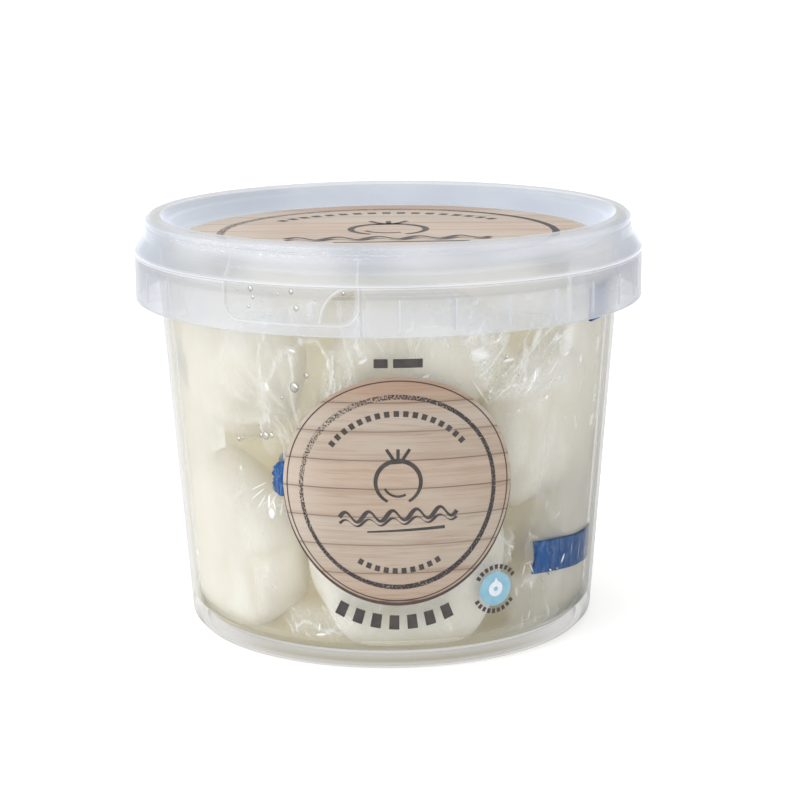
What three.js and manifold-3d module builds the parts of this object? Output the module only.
// A round tub of natural plastic with a snap lid, packed with fresh burrata.
// Each cheese lies in a film bag of its own, whose gathered neck a blue tape holds.
// Millimetres, +Z up. The tub stands on z = 0 round the Z axis, and its front faces -Y.

import * as THREE from 'three';
import { mergeVertices } from 'three/addons/utils/BufferGeometryUtils.js';
import Module from 'manifold-3d';

// ---------------------------------------------------------------- driving dimensions

const sides = 56; // facets round every turned piece

// The tub: a cone that widens upwards, on a hollow foot.
const wallThickness = 1.1;
const footRingOuter = 59.8;
const footRingInner = 57.8;
const footHeight = 3.6;
const floorTop = 5.0;
const wallRadiusAtFoot = 62.0;
const wallRadiusAtCollar = 69.5;

// The collar hangs from a web round the tub's rim.
const collarRadius = 77.0;
const collarThickness = 1.1;
const collarBottom = 100.9;
const collarTop = 114.8;
const webBottom = 111.2;
const webTop = 112.4;
const rimTop = 124.4;
const ribCount = 30;
const ribFirstAngle = 2.5;
const ribThickness = 0.8;
const ribBottom = 102.5;

// The tear-off tab is a shallow pocket in the collar, with a slit beside it.
const tabFrom = -36.4;
const tabTo = -6.2;
const tabBottom = 104.4;
const tabCornerRadius = 5.0;
const tabDepth = 0.6;
const slitAngle = -5.4;
const slitWidth = 0.5;

// The lid: a sunken panel inside a rim ring that caps the tub's rim.
const lidThickness = 1.1;
const lidTop = 126.0;
const panelTop = 119.0;
const panelRadius = 63.2;
const lidEdgeBottom = 115.2;

// Printed labels, thin skins that lie just off the plastic.
const labelGap = 0.35;
const labelThickness = 0.25;
const roundelRadius = 34.0;
const roundelAngle = 2.1;
const roundelHeight = 54.2;
const badgeRadius = 4.7;
const badgeAngle = 28.5;
const badgeHeight = 22.7;
const lidLabelRadius = 61.4;

// The cheeses: soft balls that flatten against each other and against the tub.
const ballRadius = 30.0;
const wallClearance = 1.8;
const contactGap = 0.7;
const contactSoftness = 2.5;
const neckRadius = 4.3;
const neckSpare = 1.0; // of neck that shows at each end of the tape
const bagFacets = 18;
const bagPleats = 6;
const tuftRadius = 7.0;
const tuftLength = 6.5;
const tuftFlatness = 0.36; // its half-width outwards, against that along the wall

// The tape: a band round the neck, whose two ends are stuck together as a flag.
const tapeWidth = 10.0;
const tapeInnerRadius = 4.9;
const tapeOuterRadius = 5.6;
const flagInset = 0.65; // from the tub's inside to the flag
const flagThickness = 0.8;

// Where each cheese lies: angle round the tub from the front, distance from the axis, height.
// The neck's tape has its place in the same way, and the direction that its neck runs in:
// along (round the tub, outwards, upwards). A flag runs along the wall between two angles, and
// its slope is its rise for each degree round the tub.
const cheeses = [
  { name: '1', at: [-58, 40, 89], tape: [-28, 'wall', 56], run: [-0.25, 0, -1], flag: [-31.5, -14] },
  { name: '2', at: [-64, 39.5, 31], tape: [-97, 'wall', 80], run: [0, 0, 1], flag: [-97, -74] },
  { name: '3', at: [6, 40, 32], tape: [0, 5, 57], run: [0, -0.83, 0.55] },
  { name: '4', at: [60, 39.5, 66], tape: [80, 'wall', 101.5], run: [0, 0, 1], flag: [62, 88] },
  { name: '5', at: [9, 33.5, 92], tape: [-30, 0.6, 103.4], run: [-0.67, -0.69, 0.27] },
  {
    name: '6',
    at: [102, 38.5, 30],
    tape: [57, 'wall', 27],
    run: [-1, -0.04, 0],
    flag: [43.5, 86],
    slope: -0.13,
  },
  { name: '7', at: [-161, 39, 31], tape: [-113, 'wall', 18.5], run: [1, -0.04, 0], flag: [-124, -104] },
  { name: '8', at: [136, 41, 91], tape: [151, 'wall', 54], run: [0, 0, -1], flag: [142, 166] },
  { name: '9', at: [-142, 40, 76], tape: [-174, 'wall', 102], run: [-0.4, 0, 1], flag: [-184, -163] },
];

// ---------------------------------------------------------------- places and tools

const wasm = await Module();
wasm.setup();

const radians = THREE.MathUtils.degToRad;
const taper = (wallRadiusAtCollar - wallRadiusAtFoot) / collarBottom;
const wallOuter = (z) => wallRadiusAtFoot + taper * z;
const wallInner = (z) => wallOuter(z) - wallThickness;
const lidUnderside = panelTop - lidThickness;

// A point at an angle from the front (positive towards +X), a distance from the axis and a height.
function place(angle, radius, z) {
  const a = radians(angle);
  return new THREE.Vector3(radius * Math.sin(a), -radius * Math.cos(a), z);
}

// A direction given as (round the tub, outwards, upwards) at an angle from the front.
function direction(angle, [around, outwards, up]) {
  const a = radians(angle);
  const x = around * Math.cos(a) + outwards * Math.sin(a);
  const y = around * Math.sin(a) - outwards * Math.cos(a);
  return new THREE.Vector3(x, y, up).normalize();
}

function signedVolume(geometry) {
  const p = geometry.attributes.position;
  const index = geometry.index.array;
  const [a, b, c] = [new THREE.Vector3(), new THREE.Vector3(), new THREE.Vector3()];
  let volume = 0;
  for (let i = 0; i < index.length; i += 3) {
    a.fromBufferAttribute(p, index[i]);
    b.fromBufferAttribute(p, index[i + 1]);
    c.fromBufferAttribute(p, index[i + 2]);
    volume += a.dot(b.cross(c)) / 6;
  }
  return volume;
}

// One closed body: shared corners merged, empty triangles dropped, faces turned outwards.
function closed(geometry) {
  geometry.deleteAttribute('normal');
  geometry.deleteAttribute('uv');
  const merged = mergeVertices(geometry);
  const kept = [];
  for (let i = 0; i < merged.index.count; i += 3) {
    const [a, b, c] = [0, 1, 2].map((k) => merged.index.getX(i + k));
    if (a !== b && b !== c && c !== a) kept.push(a, b, c);
  }
  merged.setIndex(kept);
  if (signedVolume(merged) < 0) merged.setIndex(kept.reverse());
  return merged;
}

// A turned body from a profile of [radius, height] pairs.
function turned(profile, facets = sides) {
  const points = profile.map(([r, z]) => new THREE.Vector2(r, z));
  return closed(new THREE.LatheGeometry(points, facets).rotateX(Math.PI / 2));
}

// A closed skin through rings of points, capped by one point at each end.
function lofted(start, rings, end) {
  const count = rings[0].length;
  const points = [start, ...rings.flat(), end];
  const last = points.length - 1;
  const at = (ring, i) => 1 + ring * count + (i % count);
  const index = [];
  for (let i = 0; i < count; i += 1) {
    index.push(0, at(0, i + 1), at(0, i));
    index.push(last, at(rings.length - 1, i), at(rings.length - 1, i + 1));
    for (let ring = 0; ring < rings.length - 1; ring += 1) {
      index.push(at(ring, i), at(ring, i + 1), at(ring + 1, i + 1));
      index.push(at(ring, i), at(ring + 1, i + 1), at(ring + 1, i));
    }
  }
  const geometry = new THREE.BufferGeometry().setFromPoints(points);
  geometry.setIndex(index);
  return closed(geometry);
}

// A plate bent round the tub's axis. Its lower and upper edges are functions of the angle,
// and its inner and outer faces are functions of the height.
function wrapped({ angles, bottom, top, inner, outer }) {
  const columns = angles.map((angle) => {
    const [low, high] = [bottom(angle), top(angle)];
    const corners = [[inner, low], [outer, low], [outer, high], [inner, high]];
    return corners.map(([radius, z]) => place(angle, radius(z), z));
  });
  const middle = (ring) => ring.reduce((sum, p) => sum.add(p), new THREE.Vector3()).divideScalar(4);
  return lofted(middle(columns[0]), columns, middle(columns.at(-1)));
}

function range(from, to, steps) {
  return Array.from({ length: steps + 1 }, (_, i) => from + ((to - from) * i) / steps);
}

function toManifold(geometry) {
  const vertProperties = new Float32Array(geometry.attributes.position.array);
  const triVerts = new Uint32Array(geometry.index.array);
  return new wasm.Manifold(new wasm.Mesh({ numProp: 3, vertProperties, triVerts }));
}

function fromManifold(solid) {
  const { vertProperties, triVerts } = solid.getMesh();
  const geometry = new THREE.BufferGeometry();
  geometry.setAttribute('position', new THREE.Float32BufferAttribute(vertProperties, 3));
  geometry.setIndex(Array.from(triVerts));
  return geometry;
}

// ---------------------------------------------------------------- tub

function tubShell() {
  const collarInner = collarRadius - collarThickness;
  return turned([
    [0, footHeight],
    [footRingInner - 1.0, footHeight],
    [footRingInner, 0],
    [footRingOuter, 0],
    [footRingOuter + 1.8, 1.2],
    [wallOuter(2.8), 2.8],
    [wallOuter(webBottom), webBottom],
    [collarInner, webBottom],
    [collarInner, collarBottom],
    [collarRadius, collarBottom],
    [collarRadius, collarTop - 0.3],
    [collarRadius - 0.3, collarTop],
    [collarInner, collarTop],
    [collarInner, webTop],
    [wallOuter(webTop), webTop],
    [wallOuter(rimTop - 3), rimTop - 3],
    [wallOuter(rimTop) + 0.6, rimTop - 2],
    [wallOuter(rimTop) + 0.6, rimTop - 0.8],
    [wallOuter(rimTop), rimTop],
    [wallInner(rimTop), rimTop],
    [wallInner(floorTop + 3.5), floorTop + 3.5],
    [wallInner(floorTop) - 1.0, floorTop + 1.0],
    [wallInner(floorTop) - 3.2, floorTop],
    [0, floorTop],
  ]);
}

// Upright ribs join the collar to the wall, all round except behind the tab.
function tubRibs() {
  const from = wallRadiusAtCollar - 0.1;
  const to = collarRadius - collarThickness / 2;
  const height = webBottom + 0.3 - ribBottom;
  const angles = Array.from({ length: ribCount }, (_, i) => ribFirstAngle + (i * 360) / ribCount);
  const clearOfTab = angles.filter((a) => a < 360 + tabFrom - 4 || a > 360 + tabTo + 4);
  return clearOfTab.map((angle) => {
    const rib = new THREE.BoxGeometry(ribThickness, to - from, height);
    rib.translate(0, -(from + to) / 2, ribBottom + height / 2);
    return closed(rib.rotateZ(radians(angle)));
  });
}

// The pocket's lower edge, with a round corner at each side.
function tabLowerEdge(angle) {
  const perDegree = radians(1) * collarRadius;
  const fromSide = Math.min(angle - tabFrom, tabTo - angle) * perDegree;
  const inCorner = Math.max(0, tabCornerRadius - fromSide);
  const rise = tabCornerRadius - Math.sqrt(Math.max(0, tabCornerRadius ** 2 - inCorner ** 2));
  return tabBottom + rise;
}

function tabPocket() {
  const corner = tabCornerRadius / (radians(1) * collarRadius);
  const angles = [
    ...range(tabFrom, tabFrom + corner, 3),
    ...range(tabFrom + corner, tabTo - corner, 5).slice(1, -1),
    ...range(tabTo - corner, tabTo, 3),
  ];
  return wrapped({
    angles,
    bottom: tabLowerEdge,
    top: () => collarTop + 1,
    inner: () => collarRadius - tabDepth,
    outer: () => collarRadius + 1,
  });
}

function tabSlit() {
  const halfAngle = slitWidth / 2 / (radians(1) * collarRadius);
  return wrapped({
    angles: [slitAngle - halfAngle, slitAngle + halfAngle],
    bottom: () => collarBottom - 1,
    top: () => webBottom - 0.4,
    inner: () => collarRadius - collarThickness - 0.5,
    outer: () => collarRadius + 1,
  });
}

function tub() {
  let solid = toManifold(tubShell());
  for (const rib of tubRibs()) solid = solid.add(toManifold(rib));
  for (const cut of [tabPocket(), tabSlit()]) solid = solid.subtract(toManifold(cut));
  return fromManifold(solid);
}

// ---------------------------------------------------------------- lid

function lidShell() {
  const t = lidThickness;
  return turned([
    [0, panelTop],
    [panelRadius, panelTop],
    [64.4, 119.6],
    [66.6, 123.0],
    [67.6, 123.5],
    [68.3, 125.3],
    [69.2, lidTop],
    [72.0, lidTop],
    [73.1, 125.5],
    [73.6, 124.5],
    [73.2, 123.2],
    [74.3, 120.0],
    [75.1, 118.5],
    [collarRadius, 115.9],
    [collarRadius, lidEdgeBottom],
    [collarRadius - t, lidEdgeBottom],
    [75.7, 115.9],
    [73.2, 119.4],
    [72.4, 122.4],
    [72.4, 124.2],
    [71.7, lidTop - t],
    [69.6, lidTop - t],
    [68.5, 122.8],
    [67.6, 122.2],
    [65.4, 118.7],
    [panelRadius + 0.5, lidUnderside],
    [0, lidUnderside],
  ]);
}

// Two low ridges run down the lid's shoulder, one at each side of the tab.
function shoulderRidge(angle) {
  const halfAngle = 0.4 / (radians(1) * collarRadius);
  const shoulder = (z) => 73.9 + ((122.0 - z) * (collarRadius - 73.9)) / 6.0;
  return wrapped({
    angles: [angle - halfAngle, angle + halfAngle],
    bottom: () => 116.4,
    top: () => 121.8,
    inner: (z) => shoulder(z) - 0.9,
    outer: (z) => Math.min(shoulder(z) + 0.4, collarRadius - 0.05),
  });
}

function lid() {
  let solid = toManifold(lidShell());
  for (const angle of [tabFrom, tabTo]) solid = solid.add(toManifold(shoulderRidge(angle)));
  return fromManifold(solid);
}

// ---------------------------------------------------------------- printed labels

// A round print on the tapered wall, true in the wall's unrolled plane.
function wallDisc(radius, angle, height, steps) {
  const perDegree = radians(1) * wallOuter(height);
  const turn = range(-87, 87, steps);
  const half = (a) => Math.sqrt(Math.max(0, radius ** 2 - ((a - angle) * perDegree) ** 2));
  return wrapped({
    angles: turn.map((t) => angle + (radius * Math.sin(radians(t))) / perDegree),
    bottom: (a) => height - half(a),
    top: (a) => height + half(a),
    inner: (z) => wallOuter(z) + labelGap,
    outer: (z) => wallOuter(z) + labelGap + labelThickness,
  });
}

function lidLabel() {
  const disc = new THREE.CylinderGeometry(lidLabelRadius, lidLabelRadius, labelThickness, sides);
  disc.rotateX(Math.PI / 2);
  return closed(disc.translate(0, 0, panelTop + labelGap + labelThickness / 2));
}

// ---------------------------------------------------------------- cheeses in their bags

const softMin = (a, b) => {
  const blend = Math.max(contactSoftness - Math.abs(a - b), 0);
  return Math.min(a, b) - (blend * blend) / (4 * contactSoftness);
};

// How far the tub's wall lies from a centre along a ray, a little in from its face.
function wallReach(centre, ray) {
  const base = wallInner(0) - wallClearance + taper * centre.z;
  const slope = taper * ray.z;
  const a = ray.x ** 2 + ray.y ** 2 - slope ** 2;
  const b = centre.x * ray.x + centre.y * ray.y - base * slope;
  const c = centre.x ** 2 + centre.y ** 2 - base ** 2;
  const reach = (Math.sqrt(b * b - a * c) - b) / a;
  return reach > 0 ? reach : Infinity;
}

// The cheese's radius along a ray: a ball, pressed flat where something stops it.
function ballReach(centre, neighbours, ray) {
  let reach = softMin(ballRadius, wallReach(centre, ray));
  if (ray.z < 0) reach = softMin(reach, (centre.z - floorTop - contactGap) / -ray.z);
  if (ray.z > 0) reach = softMin(reach, (lidUnderside - contactGap - centre.z) / ray.z);
  for (const other of neighbours) {
    const towards = other.clone().sub(centre);
    const distance = towards.length();
    const facing = towards.dot(ray) / distance;
    if (facing > 0.1) reach = softMin(reach, (distance - contactGap) / 2 / facing);
  }
  return reach;
}

function tapePlace(cheese) {
  const [angle, radius, z] = cheese.tape;
  const onWall = wallInner(z) - flagInset - flagThickness / 2 - tapeOuterRadius;
  return {
    centre: place(angle, radius === 'wall' ? onWall : radius, z),
    run: direction(angle, cheese.run),
  };
}

// Two directions across an axis, the first as near as can be to the one given.
function acrossAxis(axis, near) {
  const u = near.clone().addScaledVector(axis, -near.dot(axis)).normalize();
  return [u, new THREE.Vector3().crossVectors(axis, u)];
}

// A ring of points round a centre, across an axis, with soft pleats. A ring that is flat
// is narrower in its first direction than in its second.
function pleatedRing(centre, axis, outwards, { radius, pleat = 0, flat = 1 }) {
  const [u, v] = acrossAxis(axis, outwards);
  return range(0, 2 * Math.PI, bagFacets).slice(0, -1).map((turn) => {
    const r = radius * (1 + pleat * Math.cos(bagPleats * turn));
    const point = centre.clone().addScaledVector(u, r * flat * Math.cos(turn));
    return point.addScaledVector(v, r * Math.sin(turn));
  });
}

// The bag: round the cheese, drawn in to the neck, through the tape, and out into a tuft.
function bag(cheese) {
  const centre = place(...cheese.at);
  const neighbours = cheeses.filter((other) => other !== cheese).map((other) => place(...other.at));
  const tape = tapePlace(cheese);
  const outwards = direction(cheese.tape[0], [0, 1, 0]);
  const neckStart = tape.centre.clone().addScaledVector(tape.run, -tapeWidth / 2 - neckSpare);
  const pole = neckStart.clone().addScaledVector(tape.run, -4).sub(centre).normalize();
  const [u, v] = acrossAxis(pole, outwards);

  const surface = (polar, turn) => {
    const ray = pole.clone().multiplyScalar(-Math.cos(polar));
    ray.addScaledVector(u, Math.sin(polar) * Math.cos(turn));
    ray.addScaledVector(v, Math.sin(polar) * Math.sin(turn));
    return centre.clone().addScaledVector(ray, ballReach(centre, neighbours, ray));
  };
  const rings = range(17, 153, 8).map((polar) => (
    range(0, 2 * Math.PI, bagFacets).slice(0, -1).map((turn) => surface(radians(polar), turn))
  ));

  const leave = centre.clone().addScaledVector(pole, 0.88 * ballRadius);
  const reach = leave.distanceTo(neckStart) / 3;
  const bend = new THREE.CubicBezierCurve3(
    leave,
    leave.clone().addScaledVector(pole, reach),
    neckStart.clone().addScaledVector(tape.run, -reach),
    neckStart,
  );
  for (const [t, radius] of [[0.3, 7.8], [0.6, 5.4]]) {
    rings.push(pleatedRing(bend.getPoint(t), bend.getTangent(t), outwards, { radius, pleat: 0.06 }));
  }
  const tuftStart = tapeWidth + 2 * neckSpare;
  const alongNeck = [
    [0, { radius: neckRadius }],
    [tuftStart, { radius: neckRadius }],
    [tuftStart + 2.5, { radius: neckRadius + 1.2, pleat: 0.16, flat: (1 + tuftFlatness) / 2 }],
    [tuftStart + tuftLength, { radius: tuftRadius, pleat: 0.28, flat: tuftFlatness }],
  ];
  for (const [distance, shape] of alongNeck) {
    const at = neckStart.clone().addScaledVector(tape.run, distance);
    rings.push(pleatedRing(at, tape.run, outwards, shape));
  }
  const tuftEnd = neckStart.clone().addScaledVector(tape.run, tuftStart + tuftLength - 1);
  return lofted(surface(0, 0), rings, tuftEnd);
}

function tapeBand(tape) {
  const half = tapeWidth / 2;
  const band = turned([
    [tapeInnerRadius, -half],
    [tapeOuterRadius, -half],
    [tapeOuterRadius, half],
    [tapeInnerRadius, half],
    [tapeInnerRadius, -half],
  ], 12);
  const turn = new THREE.Quaternion().setFromUnitVectors(new THREE.Vector3(0, 0, 1), tape.run);
  return band.applyQuaternion(turn).translate(...tape.centre);
}

function tapeFlag(cheese) {
  const [neckAngle, , neckHeight] = cheese.tape;
  const [from, to] = cheese.flag;
  const level = (angle) => neckHeight + (cheese.slope ?? 0) * (angle - neckAngle);
  return wrapped({
    angles: range(from, to, Math.ceil((to - from) / 6)),
    bottom: (angle) => level(angle) - tapeWidth / 2,
    top: (angle) => level(angle) + tapeWidth / 2,
    inner: (height) => wallInner(height) - flagInset - flagThickness,
    outer: (height) => wallInner(height) - flagInset,
  });
}

function tie(cheese) {
  const band = tapeBand(tapePlace(cheese));
  if (!cheese.flag) return band;
  return fromManifold(toManifold(band).add(toManifold(tapeFlag(cheese))));
}

// ---------------------------------------------------------------- materials and scene

const plastic = { color: 0xe9ecef, roughness: 0.28, metalness: 0, transparent: true };
const tubPlastic = new THREE.MeshStandardMaterial({ ...plastic, opacity: 0.35 });
const lidPlastic = new THREE.MeshStandardMaterial({ ...plastic, opacity: 0.5 });
const woodPrint = new THREE.MeshStandardMaterial({ color: 0xdcc5b0, roughness: 0.4, metalness: 0 });
const badgePrint = new THREE.MeshStandardMaterial({ color: 0x9abfd2, roughness: 0.4, metalness: 0 });
const baggedCheese = new THREE.MeshStandardMaterial({ color: 0xf2efe6, roughness: 0.3, metalness: 0 });
const blueTape = new THREE.MeshStandardMaterial({ color: 0x3f68a8, roughness: 0.45, metalness: 0 });

const pack = new THREE.Group();

function addPiece(name, geometry, material) {
  const piece = new THREE.Mesh(geometry, material);
  piece.name = name;
  pack.add(piece);
}

addPiece('tub', tub(), tubPlastic);
addPiece('lid', lid(), lidPlastic);
addPiece('front_label', wallDisc(roundelRadius, roundelAngle, roundelHeight, 22), woodPrint);
addPiece('badge_label', wallDisc(badgeRadius, badgeAngle, badgeHeight, 10), badgePrint);
addPiece('lid_label', lidLabel(), woodPrint);
for (const cheese of cheeses) {
  addPiece(`burrata_${cheese.name}`, bag(cheese), baggedCheese);
  addPiece(`tie_${cheese.name}`, tie(cheese), blueTape);
}

export default pack;
